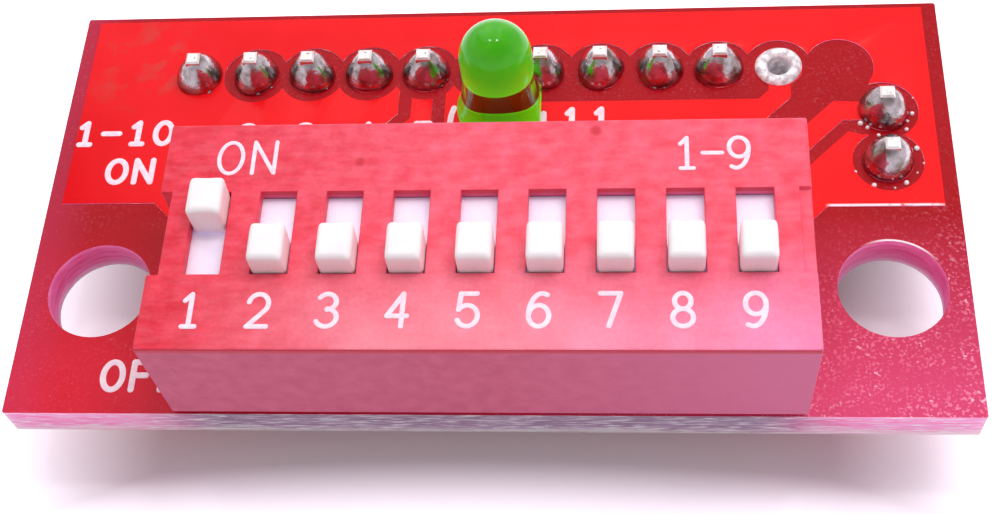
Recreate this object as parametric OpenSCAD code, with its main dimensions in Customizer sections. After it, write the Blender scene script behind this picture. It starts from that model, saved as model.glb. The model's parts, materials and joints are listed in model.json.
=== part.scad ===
// Nine-way slide DIP switch module: a switch, an indicator LED and two socket strips on a circuit board.
// The origin is midway between the two mounting holes, on the underside of the board.
// +X runs along the row of sliders, +Y from the switch to the socket strip, +Z up out of the board.

/* [Board] */
// Width of the board, side to side
board_w = 38; // [37.5:0.5:60]
// Depth of the board, front to back
board_d = 19.7; // [19.5:0.1:30]
// Thickness of the board
board_t = 1.6; // [1:0.1:2.4]
// Radius of the board's corners
corner_r = 0.1; // [0.1:0.1:0.8]
// Diameter of each mounting hole
hole_d = 4.3; // [2.2:0.1:4.8]
// Distance between the mounting holes
hole_spacing = 32; // [30:0.5:33]
// Distance from the front edge of the board to the mounting holes
hole_setback = 5.5; // [4:0.1:6]
// How far the copper stands up under the mask
copper_t = 0.05; // [0.03:0.01:0.1]
// Distance from the sides of the board to the copper
copper_side = 0.62; // [0.3:0.02:1]
// Distance from the back edge of the board to the copper
copper_back = 0.25; // [0.2:0.05:0.6]
// Clearance in the copper round a pad, from the centre of the pad
clearance_r = 1.45; // [1.3:0.05:1.6]
// Radius of a pad on the top face
pad_r = 1.02; // [0.9:0.02:1.1]
// Radius of a pad on the underside
tail_pad_r = 0.75; // [0.6:0.05:0.9]
// Width of a track
track_w = 0.92; // [0.7:0.02:1.1]
// Width of the gap beside a track
channel_t = 0.56; // [0.4:0.02:0.7]
// Width of a track on the underside
under_track_w = 0.4; // [0.3:0.02:0.5]

/* [Switch] */
// Number of ways
ways = 9; // [2:1:9]
// Distance from one way to the next
pitch = 2.54; // [2.54:0.1:2.64]
// Distance between the front and back rows of terminals
row_spacing = 7.62; // [7.4:0.02:7.8]
// Sideways offset of the switch from the middle of the board
switch_x = 0.18; // [-0.5:0.02:0.5]
// How far a slider travels between OFF and ON
travel = 2; // [1.4:0.1:2.4]
// Running gap left at each end of a slider's travel
stop_gap = 0.05; // [0.03:0.01:0.1]
// Gap between the underside of the switch and the board
standoff = 0.2; // [0.1:0.05:0.5]

/* [Cover] */
// Thickness of the front and back walls of the cover
cover_wall = 0.65; // [0.5:0.05:1]
// Thickness of the end walls of the cover
cover_end = 0.71; // [0.6:0.01:1.2]
// Thickness of the roof of the cover
roof_t = 0.5; // [0.4:0.05:0.8]
// Gap between the cover and the base, all round
cover_fit = 0.035; // [0.02:0.005:0.06]
// Rounding of the outer edges of the cover
cover_edge = 0.1; // [0.05:0.01:0.2]
// Depth of the recess in the left end, and of the step in the right end
recess_t = 0.46; // [0.1:0.02:0.5]
// Length of the recess and of the step
recess_l = 3.6; // [2:0.1:5]
// How far the step in the right end goes down from the top face
step_h = 0.2; // [0.1:0.05:0.4]

/* [Slider] */
// Width of the knob, along the row
knob_w = 1.28; // [1:0.02:1.5]
// Gap between the knob and each side of its slot
knob_gap = 0.06; // [0.03:0.01:0.1]
// Length of the knob, along its travel
knob_l = 1.45; // [1.2:0.05:1.7]
// How far the knob stands above the cover
knob_rise = 1.1; // [0.5:0.05:2]
// Depth of the hollow in the front and back faces of the knob
knob_dish = 0.09; // [0.02:0.01:0.15]
// Rounding of the top edges of the knob
knob_edge = 0.18; // [0.05:0.01:0.3]
// How far the plate reaches under the cover on each side of the slot
plate_lap = 0.25; // [0.1:0.01:0.3]
// Thickness of the plate
plate_t = 1; // [0.8:0.05:1.4]
// How far the plate reaches under the end of the slot at the end of its travel
plate_end_lap = 0.04; // [0:0.01:0.08]
// Gap on each side of the plate
plate_side_gap = 0.05; // [0.03:0.01:0.08]
// Gap above and below the plate
plate_glide_gap = 0.02; // [0.01:0.01:0.05]
// Height of the keel that carries the contact spring
keel_h = 0.89; // [0.7:0.01:1.2]
// Width of the keel
keel_w = 0.9; // [0.8:0.05:1.2]
// Length of the keel
keel_l = 1.1; // [0.9:0.05:1.3]
// Radius of the peg that holds the spring
peg_r = 0.2; // [0.15:0.01:0.25]
// Radius of the peg's flattened head
peg_head_r = 0.32; // [0.28:0.01:0.36]
// Thickness of the peg's flattened head
peg_head_t = 0.08; // [0.05:0.01:0.12]

/* [Base] */
// Thickness of the base's front and back walls, outside its terminals
base_wall = 0.28; // [0.2:0.01:0.5]
// Thickness of the base's end walls
base_end = 0.32; // [0.25:0.01:0.6]
// Thickness of the floor under the contacts
floor_t = 2.1; // [1.5:0.05:3]
// Gap between the contacts and each side of the trench that they lie in
trench_side_gap = 0.2; // [0.1:0.02:0.3]
// Gap between the contact spring and each end of the trench
trench_end_gap = 1.15; // [0.8:0.05:1.2]
// How far the snap barbs stand out
barb_t = 0.12; // [0.05:0.01:0.2]
// Length of a snap barb
barb_l = 2; // [1:0.1:3]
// Height of a snap barb
barb_h = 0.45; // [0.3:0.05:0.6]

/* [Contacts] */
// Thickness of a terminal
blade_t = 0.25; // [0.2:0.01:0.3]
// Width of a terminal inside the base
blade_w = 1; // [0.8:0.02:1.2]
// Width of a terminal's tail
tail_w = 0.5; // [0.4:0.02:0.56]
// How far a tail reaches below the board
tail_reach = 2; // [1.2:0.1:2.9]
// How far the front blade reaches past the middle of the switch
front_blade_end = 0.3; // [0.2:0.02:0.4]
// Where the back blade begins, behind the middle of the switch
back_blade_start = 1.2; // [1:0.02:1.5]
// Thickness of the contact spring's strip
spring_t = 0.12; // [0.08:0.01:0.14]
// Height of the contact spring
spring_h = 0.6; // [0.5:0.01:0.7]
// Width of the contact spring
spring_w = 0.9; // [0.7:0.02:1.1]
// Outer radius of the contact spring's rounded feet
foot_r = 0.25; // [0.2:0.01:0.3]
// Gap under the feet, which stands for their line of contact
contact_gap = 0.01; // [0.005:0.001:0.02]

/* [Strips] */
// Number of contacts in the long strip
header_count = 10; // [2:1:10]
// Number of holes in the long row, one of which is left open
header_holes = 11; // [2:1:11]
// Where the long row's middle hole lies, along X
header_x = -0.6; // [-1:0.05:0]
// Distance from the middle of the switch back to the long row
header_setback = 11.43; // [11:0.01:12]
// Where the pair of contacts lies, along X
pair_x = 16.32; // [16:0.02:16.6]
// Distance from the middle of the switch back to the middle of the pair
pair_setback = 7.82; // [7.4:0.02:8.2]
// Height of both strips
strip_h = 3; // [2.6:0.1:5]
// Depth of the strips, front to back
strip_d = 2.5; // [2.2:0.1:2.54]
// Width of the square opening for each mating pin
entry_w = 1; // [0.9:0.02:1.2]
// Width of a contact's square tail
pin_w = 0.6; // [0.5:0.02:0.66]
// How far the tail stands above the board
pin_rise = 1.42; // [1:0.02:2]
// Bevel round the tip of the tail
pin_bevel = 0.08; // [0.04:0.01:0.15]
// Gap between a contact's corners and its plated hole
pin_hole_gap = 0.125; // [0.05:0.005:0.2]
// Gap between a terminal's or an LED lead's corners and its plated hole
tail_hole_gap = 0.08; // [0.05:0.01:0.15]

/* [Solder] */
// Height of a solder cone on the top face
cone_h = 1.2; // [0.7:0.05:1.3]
// Height of a solder dome at the pair
dome_h = 0.9; // [0.6:0.05:1.1]
// Height of a solder cone on the underside
tail_cone_h = 0.8; // [0.5:0.05:1]
// Height of the solder ring round the open hole
ring_h = 0.2; // [0.1:0.02:0.3]
// Thickness of the solder that lines the open hole
lining_t = 0.08; // [0.04:0.01:0.15]
// Gap between the solder and the wall of a plated hole
solder_gap = 0.01; // [0.005:0.001:0.02]

/* [LED] */
// Where the LED stands, along X
led_x = 0.4; // [0.1:0.05:0.5]
// Distance from the middle of the switch back to the LED
led_setback = 8.7; // [8.3:0.05:8.8]
// Gap between the board and the LED's flange
led_lift = 0.9; // [0.3:0.05:1.5]
// Diameter of the lens
lens_d = 2.95; // [2.8:0.05:3.1]
// Height of the lens with its flange
lens_h = 5.275; // [5:0.025:6]
// Diameter of the flange
flange_d = 3.8; // [3.6:0.05:3.9]
// Height of the flange
flange_h = 1; // [0.8:0.05:1.2]
// Distance from the axis of the LED to the flat on its flange
flange_flat = 1.62; // [1.56:0.02:1.8]
// Distance between the LED's leads
lead_pitch = 2.54; // [2.4:0.02:2.6]
// Width of an LED lead
lead_w = 0.45; // [0.4:0.01:0.5]
// How far the LED's trimmed leads reach below the board
lead_reach = 1.5; // [1:0.1:2]

/* [Hidden] */
slack = 0.5; // overrun of a cut past the face that it opens
eps = 0.01; // overlap of two shapes that are joined into one
fine = 64;
finest = 128;

board_front = -hole_setback;
board_back = board_front + board_d;
copper_top = board_t + copper_t;

// Lengths along a slider's travel, from the knob outwards to the cover
slot_l = knob_l + travel + 2 * stop_gap;
plate_l = slot_l + travel + 2 * plate_end_lap;
channel_l = plate_l + travel + 2 * stop_gap;
trench_l = 2 * (travel + foot_r + trench_end_gap);
base_d = max(channel_l, row_spacing + blade_t) + 2 * base_wall;
cover_d = base_d + 2 * (cover_fit + cover_wall);

// Widths along the row
slot_w = knob_w + 2 * knob_gap;
plate_w = slot_w + 2 * plate_lap;
trench_w = max(keel_w, spring_w, blade_w) + 2 * trench_side_gap;
channel_w = plate_w + 2 * plate_side_gap;
base_w = (ways - 1) * pitch + channel_w + 2 * base_end;
cover_w = base_w + 2 * (cover_fit + cover_end);

// Heights, from the board up to the top of a knob
base_z = board_t + standoff;
floor_z = base_z + floor_t;
blade_z = floor_z + blade_t;
foot_z = blade_z + contact_gap;
keel_z = foot_z + spring_h;
plate_z = keel_z + keel_h;
ledge_z = plate_z - plate_glide_gap;
rib_z = plate_z + plate_t;
roof_z = rib_z + plate_glide_gap;
cover_z = roof_z + roof_t;
knob_z = cover_z + knob_rise;

// The cover's front face stands flush with the front edge of the board
switch_y = board_front + cover_d / 2;
header_y = switch_y + header_setback;
pair_y = switch_y + pair_setback;
led_y = switch_y + led_setback;
led_z = board_t + led_lift;
lens_r = lens_d / 2;
dome_z = led_z + lens_h - lens_r;

// Plated holes and what is soldered in them
pin_corner_r = norm([pin_w, pin_w]) / 2;
tail_corner_r = max(norm([tail_w, blade_t]), norm([lead_w, lead_w])) / 2;
pin_hole_r = pin_corner_r + pin_hole_gap;
tail_hole_r = tail_corner_r + tail_hole_gap;
pad_edge = 0.02; // bare rim left round the solder on a pad

// Outline of the copper on the top face
pour_left_front = 4.2;
pour_right_front = 3.77;
pour_left = 14.35;
pour_right = 13.72;
pour_step = 1.7;
band_reach = 1.66;
lobe_x = 14.67;
bend_x = 14.45;
track5_x = hole_x(5) - 0.1;
track5_side = (track_w + channel_t) / 2;
open_x = hole_x(header_holes);
open_path = [[open_x - 1.5, header_y - 2.9], [open_x, header_y - 1.4], [open_x, header_y]];
upper_y = pair_hole_y(1);
behind_y = switch_y + cover_d / 2 - 1;

// Small details of the switch
foot_x = (ways - 2) * pitch / 2;
foot_y = 1.6;
foot_pad_r = 0.6;
barb_x = (ways - 1) * pitch / 4;
barb_z = base_z + 0.8;
tail_taper = 0.4;
tail_tip_w = 0.26;
foot_centre_z = foot_z + foot_r;
arc_steps = 12;
tip_rise = 0.22;
dish_r = (pow(knob_w / 2, 2) + pow(knob_dish, 2)) / (2 * knob_dish);

// Small details of the socket contacts
strip_gap = 0.02;
strip_roof = 0.5;
leaf_t = 0.12;
leaf_drop = 2;
leaf_bump_r = 0.08;
leaf_bump_z = -strip_roof - 0.6 * leaf_drop;
contact_plate_t = 0.2;

// Flanks of the solder cones
cone_rim_h = 0.04;
cone_hollow_r = 2.4;
cone_crown_t = 0.075;

// Inside the LED
shoulder_z = led_z + 0.45;
shoulder_t = 0.3;
post_top_z = dome_z - 0.75;
anode_in = 0.62;
anode_w = 0.34;
anvil_out = 1;
anvil_in = 0.42;
anvil_stem_w = 0.45;
anvil_side_h = 0.45;
anvil_h = 0.75;
cup_r = 0.21;
cup_depth = 0.14;
chip_w = 0.24;
wire_r = 0.03;
wire_span = anode_in + anode_w / 2;

// A knob's offset along Y from the middle of its slot: the first is ON and the others are OFF
function rest_y(i) = (i == 1 ? 1 : -1) * travel / 2;
function way_x(i) = switch_x + (i - (ways + 1) / 2) * pitch;
function hole_x(i) = header_x + (i - (header_holes + 1) / 2) * pitch;
function pair_hole_y(i) = pair_y + (1.5 - i) * pitch;
function row_y(side) = switch_y + side * row_spacing / 2;
function lead_x(side) = led_x + side * lead_pitch / 2;

way_list = [for (i = [1:ways]) i];
contact_list = [for (i = [1:header_count]) i];

// ---- Shared shapes ----

// A block given by its middle in X and Y, its size, and its lowest and highest Z
module block(x, y, w, d, z0, z1) {
    translate([x - w / 2, y - d / 2, z0])
        cube([w, d, z1 - z0]);
}

// A flat shape drawn in X and Z, t thick about y
module slab_xz(y, t) {
    translate([0, y + t / 2, 0])
        rotate([90, 0, 0])
            linear_extrude(t)
                children();
}

// A flat shape drawn in Y and Z, t thick about x
module slab_yz(x, t) {
    translate([x - t / 2, 0, 0])
        rotate([90, 0, 90])
            linear_extrude(t)
                children();
}

// A rectangle about the middle in X, from z0 to z1, with its two upper corners rounded
module tombstone(w, z0, z1, r) {
    translate([-w / 2, z0])
        square([w, z1 - z0 - r]);
    translate([-w / 2 + r, z0])
        square([w - 2 * r, z1 - z0]);
    for (side = [-1, 1])
        translate([side * (w / 2 - r), z1 - r])
            circle(r, $fn = fine);
}

// A rectangle about the origin with all its corners rounded
module rounded_plan(w, d, r) {
    square([w - 2 * r, d], center = true);
    square([w, d - 2 * r], center = true);
    for (sx = [-1, 1], sy = [-1, 1])
        translate([sx * (w / 2 - r), sy * (d / 2 - r)])
            circle(r, $fn = fine);
}

// ---- Board ----

module board_outline() {
    translate([0, (board_front + board_back) / 2])
        rounded_plan(board_w, board_d, corner_r);
}

// A straight line of copper or clearance with round ends, w wide, from a to b
module track(a, b, w) {
    translate(a)
        rotate(atan2(b[1] - a[1], b[0] - a[0]))
            translate([0, -w / 2])
                square([norm(b - a), w]);
    for (end = [a, b])
        translate(end)
            circle(w / 2, $fn = fine);
}

// A line of tracks through the points of a path
module route(path, w) {
    for (k = [1:len(path) - 1])
        track(path[k - 1], path[k], w);
}

// Round spots of copper or clearance at the long row's holes, from the first one given, and at the pair's
module spots(first, r) {
    for (i = [first:header_holes])
        translate([hole_x(i), header_y])
            circle(r, $fn = fine);
    for (i = [1, 2])
        translate([pair_x, pair_hole_y(i)])
            circle(r, $fn = fine);
}

// The gaps that part the right-hand tracks from the rest of the copper
module right_clearance() {
    band_y = header_y - band_reach;
    track_top = upper_y + track_w / 2 + 0.03;
    polygon([
        [led_x, header_y],
        [led_x, band_y],
        [open_x - 0.85, band_y],
        [open_x - 0.3, band_y + 0.55],
        [open_x - 0.3, header_y]
    ]);
    translate([lobe_x, header_y])
        circle(clearance_r, $fn = fine);
    polygon(concat([
        [lobe_x + clearance_r, header_y],
        [pair_x - 0.5, upper_y + 1.35],
        [pair_x - 1, track_top],
        [bend_x - 0.18, track_top],
        [bend_x - 2.4, track_top - 2.22]
    ], open_path));
    route([
        [pair_x - 0.9, upper_y - 0.95],
        [bend_x + 0.28, upper_y - 0.73],
        [bend_x - 2.4, upper_y - 3.41]
    ], channel_t);
}

// The gaps on both sides of the track that leaves the fifth hole
module fifth_clearance() {
    left_x = track5_x - track5_side;
    right_x = track5_x + track5_side;
    bend = 0.9;
    route([
        [left_x, header_y - 1],
        [left_x, header_y - 2.3],
        [left_x - bend, header_y - 2.3 - bend],
        [left_x - bend, behind_y]
    ], channel_t);
    track([right_x, header_y - 1], [right_x, behind_y], channel_t);
}

// The copper behind the switch, with the pads and tracks inside its gaps
module copper_plan() {
    side_x = board_w / 2 - copper_side;
    back_y = board_back - copper_back;
    difference() {
        polygon([
            [-side_x, back_y],
            [-side_x, pour_left_front],
            [-pour_left, pour_left_front],
            [-pour_left + pour_step, pour_left_front - pour_step],
            [pour_right - pour_step, pour_right_front - pour_step],
            [pour_right, pour_right_front],
            [side_x, pour_right_front],
            [side_x, back_y]
        ]);
        spots(2, clearance_r);
        right_clearance();
        fifth_clearance();
    }
    spots(1, pad_r);
    route(open_path, track_w);
    route([[pair_x, upper_y], [bend_x, upper_y], [bend_x - 3, upper_y - 3]], track_w);
}

// The route under the board from the back terminal of a way to the contact with the next number
function under_path(i) =
    let (step = way_x(i) - hole_x(i + 1))
    [
        [way_x(i), row_y(1)],
        [way_x(i), header_y - 1.6],
        [hole_x(i + 1), header_y - 1.6 + abs(step)],
        [hole_x(i + 1), header_y]
    ];

// The copper on the underside: pads, the tracks of the ways, and one line that joins all the front
// terminals to the first contact
module under_plan() {
    spots(1, pad_r);
    for (i = way_list, side = [-1, 1])
        translate([way_x(i), row_y(side)])
            circle(tail_pad_r, $fn = fine);
    for (side = [-1, 1])
        translate([lead_x(side), led_y])
            circle(tail_pad_r, $fn = fine);
    for (i = [1:min(ways, header_count - 1)])
        route(under_path(i), under_track_w);
    track([way_x(1), row_y(-1)], [way_x(ways), row_y(-1)], under_track_w);
    route([
        [way_x(1), row_y(-1)],
        [hole_x(1), row_y(-1) + way_x(1) - hole_x(1)],
        [hole_x(1), header_y]
    ], under_track_w);
}

module hole(x, y, r) {
    translate([x, y, -slack])
        cylinder(r = r, h = board_t + 2 * slack, $fn = fine);
}

module board() {
    color("crimson")
        difference() {
            union() {
                linear_extrude(board_t)
                    board_outline();
                translate([0, 0, board_t])
                    linear_extrude(copper_t)
                        copper_plan();
                translate([0, 0, -copper_t])
                    linear_extrude(copper_t)
                        under_plan();
            }
            for (side = [-1, 1]) {
                hole(side * hole_spacing / 2, 0, hole_d / 2);
                hole(lead_x(side), led_y, tail_hole_r);
            }
            for (i = way_list, side = [-1, 1])
                hole(way_x(i), row_y(side), tail_hole_r);
            for (i = [1:header_holes])
                hole(hole_x(i), header_y, pin_hole_r);
            for (i = [1, 2])
                hole(pair_x, pair_hole_y(i), pin_hole_r);
        }
}

// ---- Switch cover and base ----

module at_switch() {
    translate([switch_x, switch_y, 0])
        children();
}

// The outside of the cover: three prisms with rounded edges, one along each axis
module cover_outside() {
    intersection() {
        translate([0, 0, base_z])
            linear_extrude(cover_z - base_z)
                rounded_plan(cover_w, cover_d, cover_edge);
        slab_xz(0, cover_d)
            tombstone(cover_w, base_z, cover_z, cover_edge);
        slab_yz(0, cover_w)
            tombstone(cover_d, base_z, cover_z, cover_edge);
    }
}

// A snap barb: it slopes outwards going down, and its flat underside holds the cover down
module barb_section() {
    polygon([
        [base_d / 2 - eps, barb_z],
        [base_d / 2 + barb_t, barb_z],
        [base_d / 2 - eps, barb_z + barb_h]
    ]);
}

// The barb's pocket in the cover, larger than the barb by the fit
module pocket_section() {
    translate([base_d / 2, barb_z - cover_fit])
        square([barb_t + cover_fit, barb_h + 2 * cover_fit]);
}

// A section repeated at each snap, l long, on the front and the back
module at_snaps(l) {
    for (turn = [0, 180], x = [-barb_x, barb_x])
        rotate([0, 0, turn])
            slab_yz(x, l)
                children();
}

module switch_cover() {
    color([0.9, 0.2, 0.3])
        at_switch()
            difference() {
                cover_outside();
                block(0, 0, base_w + 2 * cover_fit, base_d + 2 * cover_fit, base_z - slack, roof_z);
                for (i = way_list)
                    block(way_x(i) - switch_x, 0, slot_w, slot_l, roof_z - slack, cover_z + slack);
                block(-cover_w / 2, 0, 2 * recess_t, recess_l, base_z - slack, cover_z + slack);
                block(cover_w / 2, 0, 2 * recess_t, recess_l, cover_z - step_h, cover_z + slack);
                at_snaps(barb_l + 2 * cover_fit)
                    pocket_section();
            }
}

module switch_base() {
    color([0.25, 0.07, 0.08])
        difference() {
            at_switch() {
                block(0, 0, base_w, base_d, base_z, rib_z);
                at_snaps(barb_l)
                    barb_section();
                for (sx = [-1, 1], sy = [-1, 1])
                    translate([sx * foot_x, sy * foot_y, board_t])
                        cylinder(r = foot_pad_r, h = standoff + eps, $fn = fine);
            }
            for (i = way_list) {
                block(way_x(i), switch_y, channel_w, channel_l, ledge_z, rib_z + slack);
                block(way_x(i), switch_y, trench_w, trench_l, floor_z, rib_z + slack);
                terminal(i, -1);
                terminal(i, 1);
            }
        }
}

// ---- Terminals, sliders and contact springs ----

// A leg and its tail: wide inside the base, narrow below it, with a tapered tip
module leg_outline() {
    polygon([
        [-blade_w / 2, blade_z],
        [-blade_w / 2, base_z],
        [-tail_w / 2, base_z],
        [-tail_w / 2, -tail_reach + tail_taper],
        [-tail_tip_w / 2, -tail_reach],
        [tail_tip_w / 2, -tail_reach],
        [tail_w / 2, -tail_reach + tail_taper],
        [tail_w / 2, base_z],
        [blade_w / 2, base_z],
        [blade_w / 2, blade_z]
    ]);
}

// One terminal: a blade on the trench floor, and a leg down through the base and the board
module terminal(i, side) {
    inner_y = side < 0 ? front_blade_end : back_blade_start;
    outer_y = side * row_spacing / 2;
    block(way_x(i), switch_y + (inner_y + outer_y) / 2, blade_w, abs(outer_y - inner_y), floor_z, blade_z);
    translate([way_x(i), 0, 0])
        slab_xz(row_y(side), blade_t)
            leg_outline();
}

module front_terminal(i) {
    color("goldenrod") terminal(i, -1);
}

module back_terminal(i) {
    color("goldenrod") terminal(i, 1);
}

// A knob: rounded along its top edges, with a shallow hollow in its front and back faces
module knob() {
    intersection() {
        difference() {
            block(0, 0, knob_w, knob_l, rib_z - eps, knob_z);
            for (side = [-1, 1])
                translate([0, side * (knob_l / 2 + dish_r - knob_dish), roof_z - slack])
                    cylinder(r = dish_r, h = knob_z - roof_z + 2 * slack, $fn = finest);
        }
        slab_xz(0, knob_l + slack)
            tombstone(knob_w, rib_z - eps, knob_z, knob_edge);
        slab_yz(0, knob_w + slack)
            tombstone(knob_l, rib_z - eps, knob_z, knob_edge);
    }
}

// A slider: the knob, the plate that closes the slot, and the keel whose peg holds the contact spring
module slider(i) {
    color("white")
        translate([way_x(i), switch_y + rest_y(i), 0]) {
            knob();
            block(0, 0, plate_w, plate_l, plate_z, rib_z);
            block(0, 0, keel_w, keel_l, keel_z, plate_z + eps);
            translate([0, 0, keel_z - spring_t - eps])
                cylinder(r = peg_r, h = spring_t + 2 * eps, $fn = fine);
            translate([0, 0, keel_z - spring_t - peg_head_t])
                cylinder(r = peg_head_r, h = peg_head_t, $fn = fine);
        }
}

// Points along an arc about a centre, from one angle to another
function arc(centre, r, from, to) = [
    for (k = [0:arc_steps])
        let (angle = from + (to - from) * k / arc_steps)
        centre + r * [cos(angle), sin(angle)]
];

// Half of the spring's outline: from under the web down a sloping arm, round a foot, up and over its
// tip, and back up the arm to the top of the web
function half_spring() =
    let (
        web_half = keel_l / 2,
        foot = [travel / 2, foot_centre_z],
        tip_z = foot_centre_z + tip_rise
    )
    concat(
        [[web_half - spring_t, keel_z - spring_t]],
        arc(foot, foot_r, 180, 360),
        [[foot[0] + foot_r, tip_z], [foot[0] + foot_r - spring_t, tip_z]],
        arc(foot, foot_r - spring_t, 360, 180),
        [[web_half, keel_z]]
    );

// The spring's section: a flat web, two sloping arms, and two half-round feet with upturned tips
module spring_section() {
    half = half_spring();
    last = len(half) - 1;
    polygon(concat(half, [for (k = [last:-1:0]) [-half[k][0], half[k][1]]]));
}

module contact_spring(i) {
    color("gold")
        translate([way_x(i), switch_y + rest_y(i), 0])
            difference() {
                slab_yz(0, spring_w)
                    spring_section();
                translate([0, 0, keel_z - spring_t - slack])
                    cylinder(r = peg_r + eps, h = spring_t + 2 * slack, $fn = fine);
            }
}

// ---- Socket strips and their contacts ----

// A moulded strip for a row of n contacts along X, centred at x and y
module strip(x, y, n) {
    difference() {
        block(x, y, n * pitch - 2 * strip_gap, strip_d, -strip_h, -copper_t);
        for (i = [1:n]) {
            cx = x + (i - (n + 1) / 2) * pitch;
            block(cx, y, entry_w, entry_w, -strip_h - slack, -strip_roof);
            block(cx, y, pin_w, pin_w, -strip_roof - slack, slack);
        }
    }
}

module header_strip() {
    color([0.08, 0.08, 0.09])
        strip((hole_x(1) + hole_x(header_count)) / 2, header_y, header_count);
}

module pair_strip() {
    color([0.08, 0.08, 0.09])
        translate([pair_x, pair_y, 0])
            rotate([0, 0, 90])
                strip(0, 0, 2);
}

// A square tail seen from the side, with its bevelled tip
module tail_outline() {
    tip_z = board_t + pin_rise;
    polygon([
        [-pin_w / 2, -strip_roof - eps],
        [-pin_w / 2, tip_z - pin_bevel],
        [-pin_w / 2 + pin_bevel, tip_z],
        [pin_w / 2 - pin_bevel, tip_z],
        [pin_w / 2, tip_z - pin_bevel],
        [pin_w / 2, -strip_roof - eps]
    ]);
}

// A stamped contact: a square tail through the board, a plate under the strip's roof, and two leaves
// with round bumps
module contact(x, y) {
    translate([x, y, 0]) {
        intersection() {
            slab_xz(0, pin_w) tail_outline();
            slab_yz(0, pin_w) tail_outline();
        }
        block(0, 0, entry_w, entry_w, -strip_roof - contact_plate_t, -strip_roof);
        for (side = [-1, 1]) {
            leaf_y = side * (entry_w - leaf_t) / 2;
            block(0, leaf_y, entry_w, leaf_t, -strip_roof - leaf_drop, -strip_roof - eps);
            translate([-entry_w / 2, side * (entry_w / 2 - leaf_t), leaf_bump_z])
                rotate([0, 90, 0])
                    cylinder(r = leaf_bump_r, h = entry_w, $fn = fine);
        }
    }
}

module header_contact(i) {
    color("silver") contact(hole_x(i), header_y);
}

module pair_contact(i) {
    color("silver") contact(pair_x, pair_hole_y(i));
}

// ---- Solder ----

// The centre of the round hollow that passes through two points, r in radius, outside the line from a to b
function hollow_centre(a, b, r) =
    let (run = b - a, reach = sqrt(r * r - run * run / 4))
    (a + b) / 2 + reach * [run[1], -run[0]] / norm(run);

// Half the section of a solder cone that stands on z = 0, with a hollow flank from its rim to its crown
module cone_section(base_r, top_r, h) {
    rim = [base_r, cone_rim_h];
    crown = [top_r, h];
    difference() {
        polygon([[0, 0], [base_r, 0], rim, crown, [0, h]]);
        translate(hollow_centre(rim, crown, cone_hollow_r))
            circle(cone_hollow_r, $fn = finest);
    }
}

// A slice of a ball that stands on z = 0, rim_r in radius and h high
module dome_section(rim_r, h) {
    ball_r = (rim_r * rim_r + h * h) / (2 * h);
    intersection() {
        translate([0, h - ball_r])
            circle(ball_r, $fn = finest);
        square([rim_r + slack, h + slack]);
    }
}

// A joint on the top face: the solder that fills the hole, and a section spun on the pad, round a
// square tail
module top_joint(x, y, h) {
    difference() {
        translate([x, y, 0]) {
            cylinder(r = pin_hole_r - solder_gap, h = copper_top + eps, $fn = fine);
            translate([0, 0, copper_top])
                rotate_extrude($fn = fine)
                    children();
        }
        block(x, y, pin_w, pin_w, -slack, board_t + h + slack);
    }
}

// The ring of solder round the open hole, and the lining of the hole
module top_ring(x, y) {
    outer_r = pad_r - pad_edge;
    bore_r = pin_hole_r - lining_t;
    translate([x, y, 0]) {
        difference() {
            cylinder(r = pin_hole_r - solder_gap, h = copper_top + eps, $fn = fine);
            translate([0, 0, -slack])
                cylinder(r = bore_r, h = board_t + 2 * slack, $fn = fine);
        }
        translate([0, 0, copper_top])
            rotate_extrude($fn = fine)
                intersection() {
                    translate([(outer_r + bore_r) / 2, 0])
                        union() {
                            dome_section((outer_r - bore_r) / 2, ring_h);
                            mirror([1, 0]) dome_section((outer_r - bore_r) / 2, ring_h);
                        }
                    translate([bore_r, 0])
                        square([outer_r - bore_r, ring_h + slack]);
                }
    }
}

module solder_top() {
    rim_r = pad_r - pad_edge;
    color([0.75, 0.75, 0.78]) {
        for (i = contact_list)
            top_joint(hole_x(i), header_y, cone_h)
                cone_section(rim_r, pin_corner_r + cone_crown_t, cone_h);
        for (i = [1, 2])
            top_joint(pair_x, pair_hole_y(i), dome_h)
                dome_section(rim_r, dome_h);
        top_ring(hole_x(header_holes), header_y);
    }
}

// A joint on the underside, round a tail or a lead w by d
module under_joint(x, y, w, d) {
    difference() {
        translate([x, y, -copper_t]) {
            translate([0, 0, -eps])
                cylinder(r = tail_hole_r - solder_gap, h = board_t + copper_t, $fn = fine);
            mirror([0, 0, 1])
                rotate_extrude($fn = fine)
                    cone_section(tail_pad_r - pad_edge, tail_corner_r + cone_crown_t / 2, tail_cone_h);
        }
        block(x, y, w, d, -tail_cone_h - slack, board_t + slack);
    }
}

module solder_bottom() {
    color([0.75, 0.75, 0.78]) {
        for (i = way_list, side = [-1, 1])
            under_joint(way_x(i), row_y(side), tail_w, blade_t);
        for (side = [-1, 1])
            under_joint(lead_x(side), led_y, lead_w, lead_w);
    }
}

// ---- LED ----

// The anode: a lead, a step inwards inside the flange, and a slim post
module led_anode_post() {
    color("silver")
        translate([led_x, 0, 0])
            slab_xz(led_y, lead_w)
                polygon([
                    [-(lead_pitch - lead_w) / 2, -lead_reach],
                    [-(lead_pitch - lead_w) / 2, shoulder_z],
                    [-anode_in, shoulder_z],
                    [-anode_in, post_top_z],
                    [-anode_in - anode_w, post_top_z],
                    [-anode_in - anode_w, shoulder_z + shoulder_t],
                    [-(lead_pitch + lead_w) / 2, shoulder_z + shoulder_t],
                    [-(lead_pitch + lead_w) / 2, -lead_reach]
                ]);
}

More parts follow.
